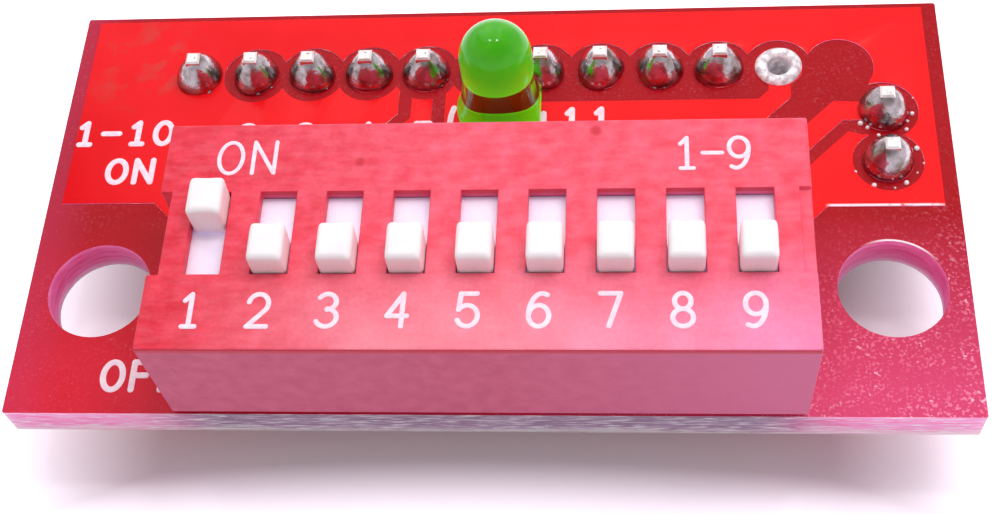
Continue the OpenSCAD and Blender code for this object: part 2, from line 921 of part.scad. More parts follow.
// The cathode: a lead, a step inwards, and a wide anvil with the reflector cup
module led_cathode_post() {
    color("silver")
        difference() {
            translate([led_x, 0, 0])
                slab_xz(led_y, lead_w)
                    polygon([
                        [(lead_pitch - lead_w) / 2, -lead_reach],
                        [(lead_pitch + lead_w) / 2, -lead_reach],
                        [(lead_pitch + lead_w) / 2, shoulder_z + shoulder_t],
                        [anvil_out, shoulder_z + shoulder_t],
                        [anvil_out, post_top_z],
                        [-anvil_in, post_top_z],
                        [-anvil_in, post_top_z - anvil_side_h],
                        [anvil_out - anvil_stem_w, post_top_z - anvil_h],
                        [anvil_out - anvil_stem_w, shoulder_z],
                        [(lead_pitch - lead_w) / 2, shoulder_z]
                    ]);
            translate([led_x, led_y, post_top_z - cup_depth])
                cylinder(r = cup_r, h = cup_depth + slack, $fn = fine);
        }
}

// The chip, on the floor of the cup with its top level with the posts
module led_chip() {
    color([0.3, 0.32, 0.2])
        block(led_x, led_y, chip_w, chip_w, post_top_z - cup_depth, post_top_z);
}

// The bond wire: half a hoop from the chip to the anode post
module led_bond_wire() {
    color("gold")
        translate([led_x - wire_span / 2, led_y, post_top_z])
            rotate([90, 0, 0])
                rotate_extrude(angle = 180, $fn = fine)
                    translate([wire_span / 2, 0])
                        circle(wire_r, $fn = 24);
}

// The lens: a domed cylinder on a flange with a flat, cast round the posts, the chip and the wire
module led_lens() {
    color([0.25, 0.65, 0.15, 0.8])
        difference() {
            translate([led_x, led_y, 0]) {
                translate([0, 0, led_z])
                    linear_extrude(flange_h)
                        intersection() {
                            circle(d = flange_d, $fn = fine);
                            translate([flange_flat - flange_d, -flange_d / 2])
                                square(flange_d);
                        }
                translate([0, 0, led_z])
                    cylinder(d = lens_d, h = dome_z - led_z, $fn = fine);
                translate([0, 0, dome_z])
                    sphere(d = lens_d, $fn = fine);
            }
            led_anode_post();
            led_cathode_post();
            led_chip();
            led_bond_wire();
            translate([led_x, led_y, post_top_z - cup_depth])
                cylinder(r = cup_r, h = cup_depth, $fn = fine);
        }
}

// ---- Which nodes are drawn ----

board();
switch_cover();
switch_base();
for (i = way_list) {
    slider(i);
    contact_spring(i);
    front_terminal(i);
    back_terminal(i);
}
header_strip();
pair_strip();
for (i = contact_list)
    header_contact(i);
for (i = [1, 2])
    pair_contact(i);
led_lens();
led_anode_post();
led_cathode_post();
led_chip();
led_bond_wire();
solder_top();
solder_bottom();
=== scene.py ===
import json

import bmesh
import bpy
import numpy as np
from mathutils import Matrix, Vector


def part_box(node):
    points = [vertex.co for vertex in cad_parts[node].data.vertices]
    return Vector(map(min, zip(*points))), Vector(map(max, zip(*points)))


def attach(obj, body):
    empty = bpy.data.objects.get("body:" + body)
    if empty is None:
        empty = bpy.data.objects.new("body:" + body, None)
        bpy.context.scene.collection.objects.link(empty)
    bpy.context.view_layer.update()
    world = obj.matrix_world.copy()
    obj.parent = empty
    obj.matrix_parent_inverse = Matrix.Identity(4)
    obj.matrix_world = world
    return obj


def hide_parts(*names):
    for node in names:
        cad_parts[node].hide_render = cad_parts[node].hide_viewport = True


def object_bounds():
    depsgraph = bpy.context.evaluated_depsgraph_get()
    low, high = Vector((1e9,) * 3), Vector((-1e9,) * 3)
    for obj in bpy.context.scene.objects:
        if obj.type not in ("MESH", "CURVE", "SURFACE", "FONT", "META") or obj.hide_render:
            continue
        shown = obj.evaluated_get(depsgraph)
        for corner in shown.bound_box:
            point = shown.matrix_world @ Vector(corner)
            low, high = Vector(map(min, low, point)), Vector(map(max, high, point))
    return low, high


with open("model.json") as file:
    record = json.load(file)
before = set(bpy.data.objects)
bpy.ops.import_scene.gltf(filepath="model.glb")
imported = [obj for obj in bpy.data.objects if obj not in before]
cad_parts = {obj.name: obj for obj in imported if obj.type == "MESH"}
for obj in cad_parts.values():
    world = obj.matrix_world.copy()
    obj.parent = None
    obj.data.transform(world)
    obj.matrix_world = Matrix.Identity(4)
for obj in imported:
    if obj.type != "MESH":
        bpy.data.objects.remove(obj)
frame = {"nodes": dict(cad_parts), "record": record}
cad_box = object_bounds()
MM = 0.001


# ---- Camera ----
# A close view from the front, a little to the right and well above the module, with the camera tipped to one
# side. It is near enough for the back of the board to look clearly smaller than the front.
def place_camera(target, distance, azimuth, elevation, roll, lens):
    """Adds a camera whose back vector points from target at two angles. Roll turns right and up about it."""
    a, e, r = np.radians([azimuth, elevation, roll])
    back = np.array([np.sin(a) * np.cos(e), -np.cos(a) * np.cos(e), np.sin(e)])
    level = np.array([np.cos(a), np.sin(a), 0.0])
    right = np.cos(r) * level + np.sin(r) * np.cross(back, level)
    matrix = np.eye(4)
    matrix[:3, :3] = np.column_stack([right, np.cross(back, right), back])
    matrix[:3, 3] = (np.array(target) + distance * back) * MM
    camera = bpy.data.objects.new("camera", bpy.data.cameras.new("camera"))
    camera.matrix_world = matrix.T.tolist()
    camera.data.lens = lens
    camera.data.clip_start = 0.02 * distance * MM
    bpy.context.collection.objects.link(camera)
    bpy.context.scene.camera = camera


place_camera(
    target=(0.164, 2.421, 0), distance=62.85, azimuth=10.635, elevation=59.547, roll=-9.473, lens=54.456
)


# ---- Floor and light ----
# A pale paper floor, a pale room with a dimmer ceiling, two softboxes behind the module and two small bare
# lamps. What looks straight at the floor or the room sees white, while the floor keeps the module's shadow,
# whose reach is set by a painted shadow in the floor's glow.
def linear(code):
    """Turns a hex colour in sRGB into linear red, green and blue, with an alpha of one."""
    part = np.array([int(code[i : i + 2], 16) for i in (1, 3, 5)]) / 255
    return (*np.where(part <= 0.04045, part / 12.92, ((part + 0.055) / 1.055) ** 2.4), 1.0)


def add(tree, kind, inputs=None, **settings):
    """Adds a shader node. Each input is a value, a hex colour, or a socket or a node to link to it. A node
    stands for its first live output."""
    node = tree.nodes.new("ShaderNode" + kind)
    for name, value in settings.items():
        setattr(node, name, value)
    for name, value in (inputs or {}).items():
        if isinstance(value, bpy.types.Node):
            value = next(output for output in value.outputs if output.enabled)
        if isinstance(value, bpy.types.NodeSocket):
            tree.links.new(value, node.inputs[name])
        else:
            node.inputs[name].default_value = linear(value) if isinstance(value, str) else value
    return node


def new_material(name):
    """Gives an empty node material, its tree, and the Object coordinates that its patterns follow."""
    material = bpy.data.materials.new(name)
    material.use_nodes = True
    tree = material.node_tree
    tree.nodes.clear()
    return material, tree, add(tree, "TexCoord").outputs["Object"]


def seen_directly(tree):
    """A factor of one for camera, glossy and transmission rays, and of nought for the light that is shed."""
    path = add(tree, "LightPath").outputs
    seen = add(tree, "Math", {0: path["Is Camera Ray"], 1: path["Is Glossy Ray"]}, operation="MAXIMUM")
    return add(tree, "Math", {0: seen, 1: path["Is Transmission Ray"]}, operation="MAXIMUM")


def floor_material():
    """Matt white paper, with a glow where it is seen directly. The glow is low under the module: a painted
    shadow. It rises to full past each side, past the back, and in front past a line bowed as y = c x^2."""
    material, tree, coords = new_material("matt white paper")
    shadow_glow, full_glow, bow_per_metre = 0.055, 0.9, 3.5
    x, y, _ = add(tree, "SeparateXYZ", {0: coords}).outputs
    squared = add(tree, "Math", {0: x, 1: x}, operation="MULTIPLY")
    bowed = add(tree, "Math", {0: squared, 1: bow_per_metre, 2: y}, operation="MULTIPLY_ADD")
    beside = add(tree, "Math", {0: x}, operation="ABSOLUTE")
    # The glow starts low near the module, which keeps a painted shadow there
    glow_level = shadow_glow
    for away, start, end in ((bowed, -4.9, -8.4), (beside, 12, 24), (y, 12, 18)):
        rise_inputs = {0: away, 1: start * MM, 2: end * MM, 4: full_glow}
        rise = add(tree, "MapRange", rise_inputs, interpolation_type="SMOOTHSTEP")
        glow_level = add(tree, "Math", {0: glow_level, 1: rise}, operation="MAXIMUM")
    paper = add(tree, "BsdfDiffuse", {"Color": "#ece8ee"})
    glow = add(tree, "Emission", {"Color": "#fbf2ff", "Strength": glow_level})
    lit = add(tree, "AddShader", {0: paper, 1: glow})
    shown = add(tree, "MixShader", {0: seen_directly(tree), 1: paper, 2: lit})
    add(tree, "OutputMaterial", {"Surface": shown})
    return material


def place_floor(height, half):
    """A square floor at a height, from minus half to half along each side, all in metres."""
    mesh = bpy.data.meshes.new("floor")
    corners = [(x, y, height) for x, y in ((-half, -half), (half, -half), (half, half), (-half, half))]
    mesh.from_pydata(corners, [], [(0, 1, 2, 3)])
    mesh.materials.append(floor_material())
    floor = bpy.data.objects.new("floor", mesh)
    bpy.context.collection.objects.link(floor)


def place_lamp(name, position, size, watts, colour, mirrored):
    """A square lamp that faces the module. Where it is mirrored, it shows in gloss."""
    data = bpy.data.lights.new(name, "AREA")
    data.size = size * MM
    data.energy = watts
    data.color = linear(colour)[:3]
    lamp = bpy.data.objects.new(name, data)
    lamp.visible_glossy = mirrored
    bpy.context.collection.objects.link(lamp)
    back = np.array(position) / np.linalg.norm(position)
    right = np.cross([0.0, 0.0, 1.0], back)
    right /= np.linalg.norm(right)
    matrix = np.eye(4)
    matrix[:3, :3] = np.column_stack([right, np.cross(back, right), back])
    matrix[:3, 3] = np.array(position) * MM
    lamp.matrix_world = matrix.T.tolist()


def light_room(walls, ceiling, lit_walls, lit_ceiling):
    """Sets the world, whose strength fades from walls to ceiling. The first two levels are seen, and the
    other two light the module."""
    world = bpy.data.worlds.new("pale room")
    bpy.context.scene.world = world
    world.use_nodes = True
    tree = world.node_tree
    tree.nodes.clear()
    height = add(tree, "SeparateXYZ", {0: add(tree, "TexCoord").outputs["Generated"]}).outputs["Z"]
    fade_start, fade_end = 0.35, 0.9
    fade = {0: height, 1: fade_start, 2: fade_end}
    seen = add(tree, "MapRange", {**fade, 3: walls, 4: ceiling}, interpolation_type="SMOOTHSTEP")
    lit = add(tree, "MapRange", {**fade, 3: lit_walls, 4: lit_ceiling})
    level = add(tree, "Mix", {0: seen_directly(tree), 2: lit, 3: seen}, data_type="FLOAT")
    add(tree, "OutputWorld", {"Surface": add(tree, "Background", {"Color": "#fdf6fc", "Strength": level})})


place_floor(cad_box[0][2], half=0.6)
light_room(walls=1.06, ceiling=0.4, lit_walls=0.6, lit_ceiling=0.42)
place_lamp("back softbox", (-25, 125, 155), size=200, watts=0.12, colour="#ffffff", mirrored=True)
place_lamp("right softbox", (80, 55, 170), size=90, watts=0.135, colour="#fff6fa", mirrored=False)
place_lamp("bare lamp", (-35, 43, 190), size=17, watts=0.020, colour="#ffffff", mirrored=True)
place_lamp("second bare lamp", (30, 45, 195), size=20, watts=0.030, colour="#ffffff", mirrored=True)
bpy.context.scene.view_settings.view_transform = "Standard"


# ---- Board ----
# Glass-fibre laminate 1.6 mm thick under red solder mask, a glossy lacquer. The mask is bright over copper,
# which stands up a little, and deep over bare laminate. The cut edges show pale fibre plies, and the walls
# of the two mounting holes are a deeper pink, a painted reflection of the mask.
RIGHT, BACK, UP = (1, 0, 0), (0, 1, 0), (0, 0, 1)


def cloudy(tree, coords, mm, detail=2.0, low=0.0, high=1.0):
    """Noise with features about mm apart, its range from low to high stretched to nought to one."""
    raw = add(tree, "TexNoise", {"Vector": coords, "Scale": 1 / (mm * MM), "Detail": detail})
    return add(tree, "MapRange", {0: raw, 1: low, 2: high})


def slope(tree, coords, direction, start, end, smooth=False):
    """A factor that runs along a direction, from nought at the start to one at the end."""
    along = add(tree, "VectorMath", {0: coords, 1: direction}, operation="DOT_PRODUCT")
    run = {0: along, 1: start * MM, 2: end * MM}
    return add(tree, "MapRange", run, interpolation_type="SMOOTHSTEP" if smooth else "LINEAR")


def near(tree, coords, point, outer, inner):
    """A factor that rises smoothly from nought to one, from outer to inner in distance from a point."""
    centre = tuple(np.array(point) * MM)
    away = add(tree, "VectorMath", {0: coords, 1: centre}, operation="DISTANCE")
    run = {0: away, 1: outer * MM, 2: inner * MM}
    return add(tree, "MapRange", run, interpolation_type="SMOOTHSTEP")


def product(tree, *factors):
    """The product of factors, each a number or a pattern."""
    result = factors[0]
    for factor in factors[1:]:
        result = add(tree, "Math", {0: result, 1: factor}, operation="MULTIPLY")
    return result


def laid_over(tree, under, over, *shares):
    """One colour laid over another. The share of it that shows is the product of the shares given."""
    return add(tree, "Mix", {0: product(tree, *shares), 6: under, 7: over}, data_type="RGBA")


def board_material():
    """Solder mask on the faces, told apart by height, and bare laminate on the cut sides."""
    material, tree, coords = new_material("red solder mask on glass-fibre laminate")
    x, y, z = add(tree, "SeparateXYZ", {0: coords}).outputs
    part_way = 0.45 * copper_t
    above = add(tree, "Math", {0: z, 1: (board_t + part_way) * MM}, operation="GREATER_THAN")
    below = add(tree, "Math", {0: z, 1: -part_way * MM}, operation="LESS_THAN")
    on_copper = add(tree, "Math", {0: above, 1: below}, operation="MAXIMUM")

    # Mask over copper is a clear bright red, and a little smudged by flux at the back left
    clouds = cloudy(tree, coords, 3.5, 4.0, 0.3, 0.7)
    left_red = laid_over(tree, "#ea0814", "#f2121e", clouds)
    right_red = laid_over(tree, "#fb1218", "#fe1a1e", clouds)
    copper_red = laid_over(tree, left_red, right_red, slope(tree, coords, RIGHT, -17, 4))
    flux = cloudy(tree, coords, 1.1, 3.0, 0.5, 0.68)
    flux_place = near(tree, coords, (-15.9, 11.5, board_t), 3.6, 1.0)
    copper_red = laid_over(tree, copper_red, "#9c6458", flux, flux_place, 0.3)

    # Mask over bare laminate is deep red and brighter towards the front. The pink towards the front right and
    # the pink at the left end are a painted sheen
    front_red = laid_over(tree, "#d0142a", "#dc2038", clouds)
    front_red = laid_over(tree, front_red, "#dc4674", slope(tree, coords, RIGHT, -14, 14))
    bare_red = laid_over(tree, "#a60410", "#b20c1a", clouds)
    bare_red = laid_over(tree, bare_red, front_red, slope(tree, coords, BACK, 3.5, -4.5))
    # Painted sheen at the left end
    left_end = slope(tree, coords, RIGHT, -16.5, -19, smooth=True)
    bare_red = laid_over(tree, bare_red, "#d04470", left_end, 0.3)
    mask = laid_over(tree, bare_red, copper_red, on_copper)

    # Pale flecks of filler about 0.1 mm across, dense at the front right, sparse elsewhere, rare over copper.
    # The near-white ones laid over them are painted glints
    front_right = slope(tree, coords, (0.5, -0.87, 0), 5, 14)
    by_corner = add(tree, "MapRange", {0: front_right, 3: 0.05, 4: 0.93})
    by_copper = add(tree, "MapRange", {0: on_copper, 3: 1.0, 4: 0.15})
    fleck_share = product(tree, cloudy(tree, coords, 1.6, 4.0, 0.32, 0.6), by_corner, by_copper)
    fine_flecks = product(tree, cloudy(tree, coords, 0.13, 3.0, 0.54, 0.63), fleck_share)
    mask = laid_over(tree, mask, "#ff90b4", fine_flecks)
    # Painted glints, near white, among the flecks
    mask = laid_over(tree, mask, "#ffe0ec", cloudy(tree, coords, 0.19, 4.0, 0.64, 0.7), fleck_share)

    # At the right, a painted highlight runs along the mask's round over the front edge of the copper, broken
    # up by noise
    copper_edge = slope(tree, coords, BACK, 3.9, 3.84, smooth=True)
    rightmost = slope(tree, coords, RIGHT, 13.6, 13.9, smooth=True)
    glint_breaks = cloudy(tree, coords, 0.6, 3.0, 0.3, 0.45)
    mask = laid_over(tree, mask, "#fff2f6", copper_edge, above, rightmost, glint_breaks)

    # The cut laminate is translucent: mauve at the middle, a painted shade, and pinker at the ends, a painted
    # light, with white fibres along it, and whiter below. In the holes it is a deep pink, a painted
    # reflection of the mask.
    grain = add(tree, "Mapping", {0: coords, 3: (0.45, 1.0, 6.0)})
    plies = cloudy(tree, grain, 1.0, 4.0, 0.35, 0.65)
    beside = add(tree, "Math", {0: x}, operation="ABSOLUTE")
    past_hole = add(tree, "Math", {0: beside, 1: hole_x * MM}, operation="SUBTRACT")
    from_hole = add(tree, "CombineXYZ", {0: past_hole, 1: y})
    painted_lit_end = slope(tree, from_hole, RIGHT, -6, -1, smooth=True)
    in_hole = near(tree, from_hole, (0, 0, 0), 2.6, 2.4)
    # Painted shade in the middle of the cut edges, painted light at their ends
    mauve = laid_over(tree, "#9a7a98", "#b49cb8", plies)
    pink = laid_over(tree, "#fc8cbc", "#ffb4dc", plies)
    laminate = laid_over(tree, mauve, pink, painted_lit_end)
    laminate = laid_over(tree, laminate, "#fbeefa", cloudy(tree, grain, 0.4, 4.0, 0.52, 0.62))
    low_down = slope(tree, coords, UP, 0.6, 0.0, smooth=True)
    laminate = laid_over(tree, laminate, "#fdf2fc", low_down, cloudy(tree, grain, 1.4, 3.0, 0.4, 0.6))
    # Painted reflection of the red mask on the hole walls
    deep_pink = laid_over(tree, "#ca588e", "#e47aae", plies)
    laminate = laid_over(tree, laminate, deep_pink, in_hole, 0.85)

    # A painted highlight lies on the back rim of the right mounting hole
    hole_rim = near(tree, from_hole, (0, 0, 0), 2.25, 2.2)
    at_right = slope(tree, coords, RIGHT, 14.8, 16, smooth=True)
    at_back = slope(tree, coords, BACK, 1.1, 2.0, smooth=True)
    mask = laid_over(tree, mask, "#fff0f8", hole_rim, at_right, at_back)

    # A side at the copper's height is mask, and the rest of the side is cut. The cut ends have a painted
    # glow, standing for light that travels inside the laminate, and less in the holes.
    normal_z = add(tree, "SeparateXYZ", {0: add(tree, "TexCoord").outputs["Normal"]}).outputs["Z"]
    level = add(tree, "Math", {0: normal_z}, operation="ABSOLUTE")
    on_side = add(tree, "Math", {0: level, 1: 0.5}, operation="LESS_THAN")
    cut = add(tree, "Math", {0: on_side, 1: on_copper}, operation="SUBTRACT", use_clamp=True)
    open_end = add(tree, "MapRange", {0: in_hole, 3: 1.0, 4: 0.25})
    flecks_and_waves = {0: fine_flecks, 1: 0.6, 2: cloudy(tree, coords, 0.5, 3.0)}
    relief = add(tree, "Math", flecks_and_waves, operation="MULTIPLY_ADD")
    inputs = {
        "Base Color": laid_over(tree, mask, laminate, cut),
        "Emission Color": laid_over(tree, "#000000", "#ff50a0", cut, painted_lit_end, open_end),
        "Emission Strength": 0.14,
        "Roughness": add(tree, "MapRange", {0: cut, 3: 0.26, 4: 0.6}),
        "IOR": 1.52,
        "Specular IOR Level": 0.14,
        "Subsurface Weight": cut,
        "Subsurface Radius": (1.0, 0.8, 0.9),
        "Subsurface Scale": 3.0 * MM,
        "Normal": add(tree, "Bump", {"Height": relief, "Distance": 0.006 * MM}),
    }
    add(tree, "OutputMaterial", {"Surface": add(tree, "BsdfPrincipled", inputs)})
    return material


def use(piece, material, slot, body, *nodes):
    """Gives a piece its material and body, and hides the CAD nodes that it replaces. The slot is not used."""
    piece.data.materials.clear()
    piece.data.materials.append(material)
    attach(piece, body)
    if nodes:
        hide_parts(*nodes)


def softened(node, width, steps):
    """A copy of a CAD node: doubles merged, flat faces joined, and its sharp edges rounded by a bevel."""
    copy = bpy.data.objects.new(node + "_softened", frame["nodes"][node].data.copy())
    bpy.context.collection.objects.link(copy)
    shell = bmesh.new()
    shell.from_mesh(copy.data)
    bmesh.ops.remove_doubles(shell, verts=shell.verts, dist=0.0005 * MM)
    bmesh.ops.dissolve_limit(shell, angle_limit=np.radians(0.5), verts=shell.verts, edges=shell.edges)
    shell.to_mesh(copy.data)
    shell.free()
    sharp = np.radians(35)
    copy.data.shade_smooth()
    copy.data.set_sharp_from_angle(angle=sharp)
    bevel = copy.modifiers.new("edges", "BEVEL")
    bevel.width = width * MM
    bevel.segments = steps
    bevel.limit_method = "ANGLE"
    bevel.angle_limit = sharp
    bevel.harden_normals = True
    return copy


board_t = 1.6
board_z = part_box("board")[1].z / MM
copper_t = board_z - board_t
hole_x = frame["record"]["mounts"][0]["dims"]["spacing_x_mm"] / 2
use(softened("board", width=0.03, steps=2), board_material(), "board_mask", "root", "board")


# ---- Socket strips and contacts ----
# Two low strips of black glass-filled polyester, moulded, with stamped contacts plated with tin. The square
# tails of the contacts come up through the board.
def moulded_material(name, colour, wear_and_sheen, roughness, grain_mm):
    """A moulded plastic with faint clouds of a second colour and a fine spark-eroded grain, which softens its
    shine."""
    material, tree, coords = new_material(name)
    inputs = {
        "Base Color": laid_over(tree, colour, wear_and_sheen, cloudy(tree, coords, 1.5, 4.0, 0.35, 0.7)),
        "Roughness": roughness,
        "IOR": 1.55,
        "Normal": add(tree, "Bump", {"Height": cloudy(tree, coords, grain_mm), "Distance": 0.004 * MM}),
    }
    add(tree, "OutputMaterial", {"Surface": add(tree, "BsdfPrincipled", inputs)})
    return material


def plated_material(name, colour, dull, roughness):
    """A plated metal, bright with dull clouds and drawn-out glints from fine rolling lines along X."""
    material, tree, coords = new_material(name)
    drawn_out = add(tree, "Mapping", {0: coords, 3: (0.15, 1.0, 1.0)})
    clouds = cloudy(tree, coords, 0.6, 3.0, 0.35, 0.7)
    inputs = {
        "Base Color": laid_over(tree, colour, dull, clouds),
        "Metallic": 1.0,
        "Roughness": add(tree, "MapRange", {0: clouds, 3: roughness, 4: roughness + 0.15}),
        "Normal": add(tree, "Bump", {"Height": cloudy(tree, drawn_out, 0.08), "Distance": 0.001 * MM}),
    }
    add(tree, "OutputMaterial", {"Surface": add(tree, "BsdfPrincipled", inputs)})
    return material


def dress(material, *nodes):
    """Gives CAD nodes a material in place of their own."""
    for node in nodes:
        frame["nodes"][node].data.materials.clear()
        frame["nodes"][node].data.materials.append(material)


strip_black = moulded_material(
    "black glass-filled polyester", "#141416", "#202023", roughness=0.45, grain_mm=0.12
)
for strip in ("header_strip", "pair_strip"):
    use(softened(strip, width=0.05, steps=2), strip_black, "strip_moulding", "root", strip)
tin_plate = plated_material("tin-plated bronze", "#f2f0ee", "#d2ccc6", roughness=0.25)
header_contacts = [f"header_contact_{i}" for i in range(1, 11)]
pair_contacts = ["pair_contact_1", "pair_contact_2"]
dress(tin_plate, *header_contacts, *pair_contacts)


# ---- Solder on the top face ----
# Tin-lead solder, melted by hand: a hollow-sided cone round each pin of the long row, a fuller dome at each
# of the pair, and a thin ring round the spare plated hole. No two joints are quite alike. Beads of solder
# and of flux, 0.1 to 0.2 mm across, lie beside some of them. The flux beads are pure white, a painted
# highlight.
def solder_material():
    """Solder that shines like a mirror, with a rippled skin that is slightly dull in places."""
    material, tree, coords = new_material("tin-lead solder")
    clouds = cloudy(tree, coords, 0.5, 3.0, 0.4, 0.7)
    inputs = {
        "Base Color": laid_over(tree, "#bcb4b8", "#7a6a60", clouds),
        "Metallic": 1.0,
        "Roughness": add(tree, "MapRange", {0: clouds, 3: 0.12, 4: 0.26}),
        "Normal": add(tree, "Bump", {"Height": cloudy(tree, coords, 0.22, 3.0), "Distance": 0.02 * MM}),
    }
    add(tree, "OutputMaterial", {"Surface": add(tree, "BsdfPrincipled", inputs)})
    return material


def lining_material():
    """Dull tinned copper, rough with flux, which catches light from all round."""
    material, tree, coords = new_material("dull tinned copper")
    inputs = {
        "Base Color": laid_over(tree, "#fffdff", "#cfc8cc", cloudy(tree, coords, 0.28, 3.0, 0.42, 0.58)),
        "Metallic": 0.2,
        "Roughness": 0.4,
        "Normal": add(tree, "Bump", {"Height": cloudy(tree, coords, 0.2, 3.0), "Distance": 0.05 * MM}),
    }
    add(tree, "OutputMaterial", {"Surface": add(tree, "BsdfPrincipled", inputs)})
    return material


def loft(rings, closed=False):
    """Points and faces of a skin over rings of points. Each ring is joined to the next. The first and last
    get a flat cap, or are joined to each other. Rings that rise and turn anticlockwise face outwards."""
    count, size = rings.shape[:2]
    here = np.arange(count * size).reshape(count, size)
    if closed:
        here = np.vstack([here, here[:1]])
    beside = np.roll(here, -1, axis=1)
    quads = np.stack([here[:-1], beside[:-1], beside[1:], here[1:]], axis=-1).reshape(-1, 4).tolist()
    caps = [] if closed else [here[0][::-1].tolist(), here[-1].tolist()]
    return rings.reshape(-1, 3), quads + caps


def built(name, skins, crease=50):
    """One object from a list of skins, smooth where faces meet at less than the crease angle."""
    points = np.concatenate([skin[0] for skin in skins]) * MM
    faces, start = [], 0
    for skin_points, skin_faces in skins:
        faces += [[corner + start for corner in face] for face in skin_faces]
        start += len(skin_points)
    mesh = bpy.data.meshes.new(name)
    mesh.from_pydata(points.tolist(), [], faces)
    mesh.shade_smooth()
    mesh.set_sharp_from_angle(angle=np.radians(crease))
    piece = bpy.data.objects.new(name, mesh)
    bpy.context.collection.objects.link(piece)
    return piece


def middle(node):
    """The middle of a CAD node's box."""
    low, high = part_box(node)
    return (np.array(low) + np.array(high)) / 2 / MM


def spun(profile, centre, turns=48, wobble=0.0, seed=0):
    """Rings that carry a profile of radius and height about a vertical axis. Wobble swells each ring by two
    and three waves a turn, and heaves it by one."""
    angle = np.linspace(0, 2 * np.pi, turns, endpoint=False)
    phase = np.random.default_rng(seed).uniform(0, 2 * np.pi, 3)
    swell = 1 + wobble * (0.6 * np.cos(2 * angle + phase[0]) + 0.4 * np.cos(3 * angle + phase[1]))
    heave = 1 + wobble * np.cos(angle + phase[2])
    radius, height = np.array(profile).T[:, :, None]
    x = centre[0] + radius * swell * np.cos(angle)
    y = centre[1] + radius * swell * np.sin(angle)
    z = centre[2] + height * heave
    return np.stack([x, y, np.broadcast_to(z, x.shape)], axis=-1)


def cone_profile(rim, rise, fullness):
    """Radius and height over half a superellipse, a cone at a fullness of 1 and half an egg at 2."""
    t = np.linspace(0.02, 1.38, 16)
    radius, height = rim * np.cos(t) ** (2 / fullness), rise * np.sin(t) ** (2 / fullness)
    return [(rim - 0.05, -0.02), *zip(radius, height)]


def dome_profile(rim, rise):
    """Radius and height over a slice of a ball."""
    ball = (rim**2 + rise**2) / (2 * rise)
    reach = np.arccos((ball - rise) / ball)
    angle = np.linspace(reach, 0.05, 6)
    return [(rim - 0.05, -0.02), *zip(ball * np.sin(angle), rise - ball + ball * np.cos(angle))]


def ring_profile(outer, inner, rise, depth, wall):
    """Radius and height round the section of a solder ring and the lining below it, from the lining's outer
    foot out over the ring, in over its crest and down the bore."""
    out = [(inner + wall, -depth), (inner + wall, -0.02), (outer - 0.03, -0.02), (outer, 0.02)]
    over = [(outer - 0.05, 0.5 * rise), (outer - 0.17, 0.95 * rise), (inner + 0.17, rise)]
    down = [(inner + 0.05, 0.6 * rise), (inner, 0.1 * rise), (inner, -depth)]
    return out + over + down


def solder_joint(contact, fullness, wobble, seed):
    """The skin of one joint, spun about its contact's axis."""
    x, y, _ = middle(contact)
    return loft(spun(cone_profile(joint_r, joint_rise, fullness), (x, y, board_z), wobble=wobble, seed=seed))


def bead(contact, turn, reach, size, rise, sunk):
    """The skin of a drop at a turn in degrees round a contact and a reach from its axis. Its radius is size,
    and it rises by rise times that."""
    x, y, _ = middle(contact)
    a = np.radians(turn)
    foot = (x + reach * np.cos(a), y + reach * np.sin(a), board_z - sunk)
    return loft(spun(dome_profile(size, size * rise), foot, turns=12))


pitch, joint_r, joint_rise = 2.54, 1.04, 1.35
joints = [solder_joint(name, fullness=1.5, wobble=0.05, seed=i) for i, name in enumerate(header_contacts)]
joints += [solder_joint(name, fullness=1.7, wobble=0.04, seed=20 + i) for i, name in enumerate(pair_contacts)]

# Beads: those of solder by the joint's number and the turn round it, and those of flux all round the pair
draw = np.random.default_rng(7)
for i, start in ((0, -60), (1, -45), (1, -75), (2, -40), (4, -50), (4, -20), (5, -60), (8, -80), (8, -110)):
    turn = start + draw.uniform(-8, 8)
    size = draw.uniform(0.05, 0.1)
    joints.append(bead(header_contacts[i], turn, joint_r - 0.01, size, rise=1.1, sunk=0.02))
flux_beads = []
for contact in pair_contacts:
    for start in range(-150, 60, 30):
        turn = start + draw.uniform(-14, 14)
        size, reach = draw.uniform(0.04, 0.11), draw.uniform(1.1, 1.5)
        flux_beads.append(bead(contact, turn, reach, size, rise=1.4, sunk=0.06))
solder = solder_material()
use(built("solder_joints", joints), solder, "solder", "root", "solder_top")
# The flux beads' pure white is a painted highlight
flux_glint_white = moulded_material("flux painted white as glints", "#ffffff", "#fff4f8", roughness=0.3, grain_mm=0.02)
use(built("flux_beads", flux_beads), flux_glint_white, "solder", "root")

row_x, row_y, _ = middle(header_contacts[0])
open_x = middle(header_contacts[-1])[0] + pitch
ring = ring_profile(outer=1.0, inner=0.47, rise=0.22, depth=board_z, wall=0.065)
ring_skin = loft(spun(ring, (open_x, row_y, board_z), wobble=0.03, seed=40), closed=True)
use(built("open_hole_lining", [ring_skin]), lining_material(), "solder", "root")


# ---- Terminals, springs and leads ----
# Stamped bronze terminals and contact springs of the switch, plated with gold, and the LED's tinned posts,
# its chip and its gold bond wire. They keep their CAD shapes, as the solder on the underside does.
gold_plate = plated_material("gold-plated bronze", "#e2bd6a", "#c79a48", roughness=0.18)
for node in frame["nodes"]:
    if node.startswith(("front_terminal_", "back_terminal_", "contact_spring_")):
        dress(gold_plate, node)
chip_grey = moulded_material("gallium phosphide chip", "#4a4f22", "#5c6228", roughness=0.2, grain_mm=0.05)
dress(solder, "solder_bottom")
dress(tin_plate, "led_anode_post", "led_cathode_post")
dress(gold_plate, "led_bond_wire")
dress(chip_grey, "led_chip")


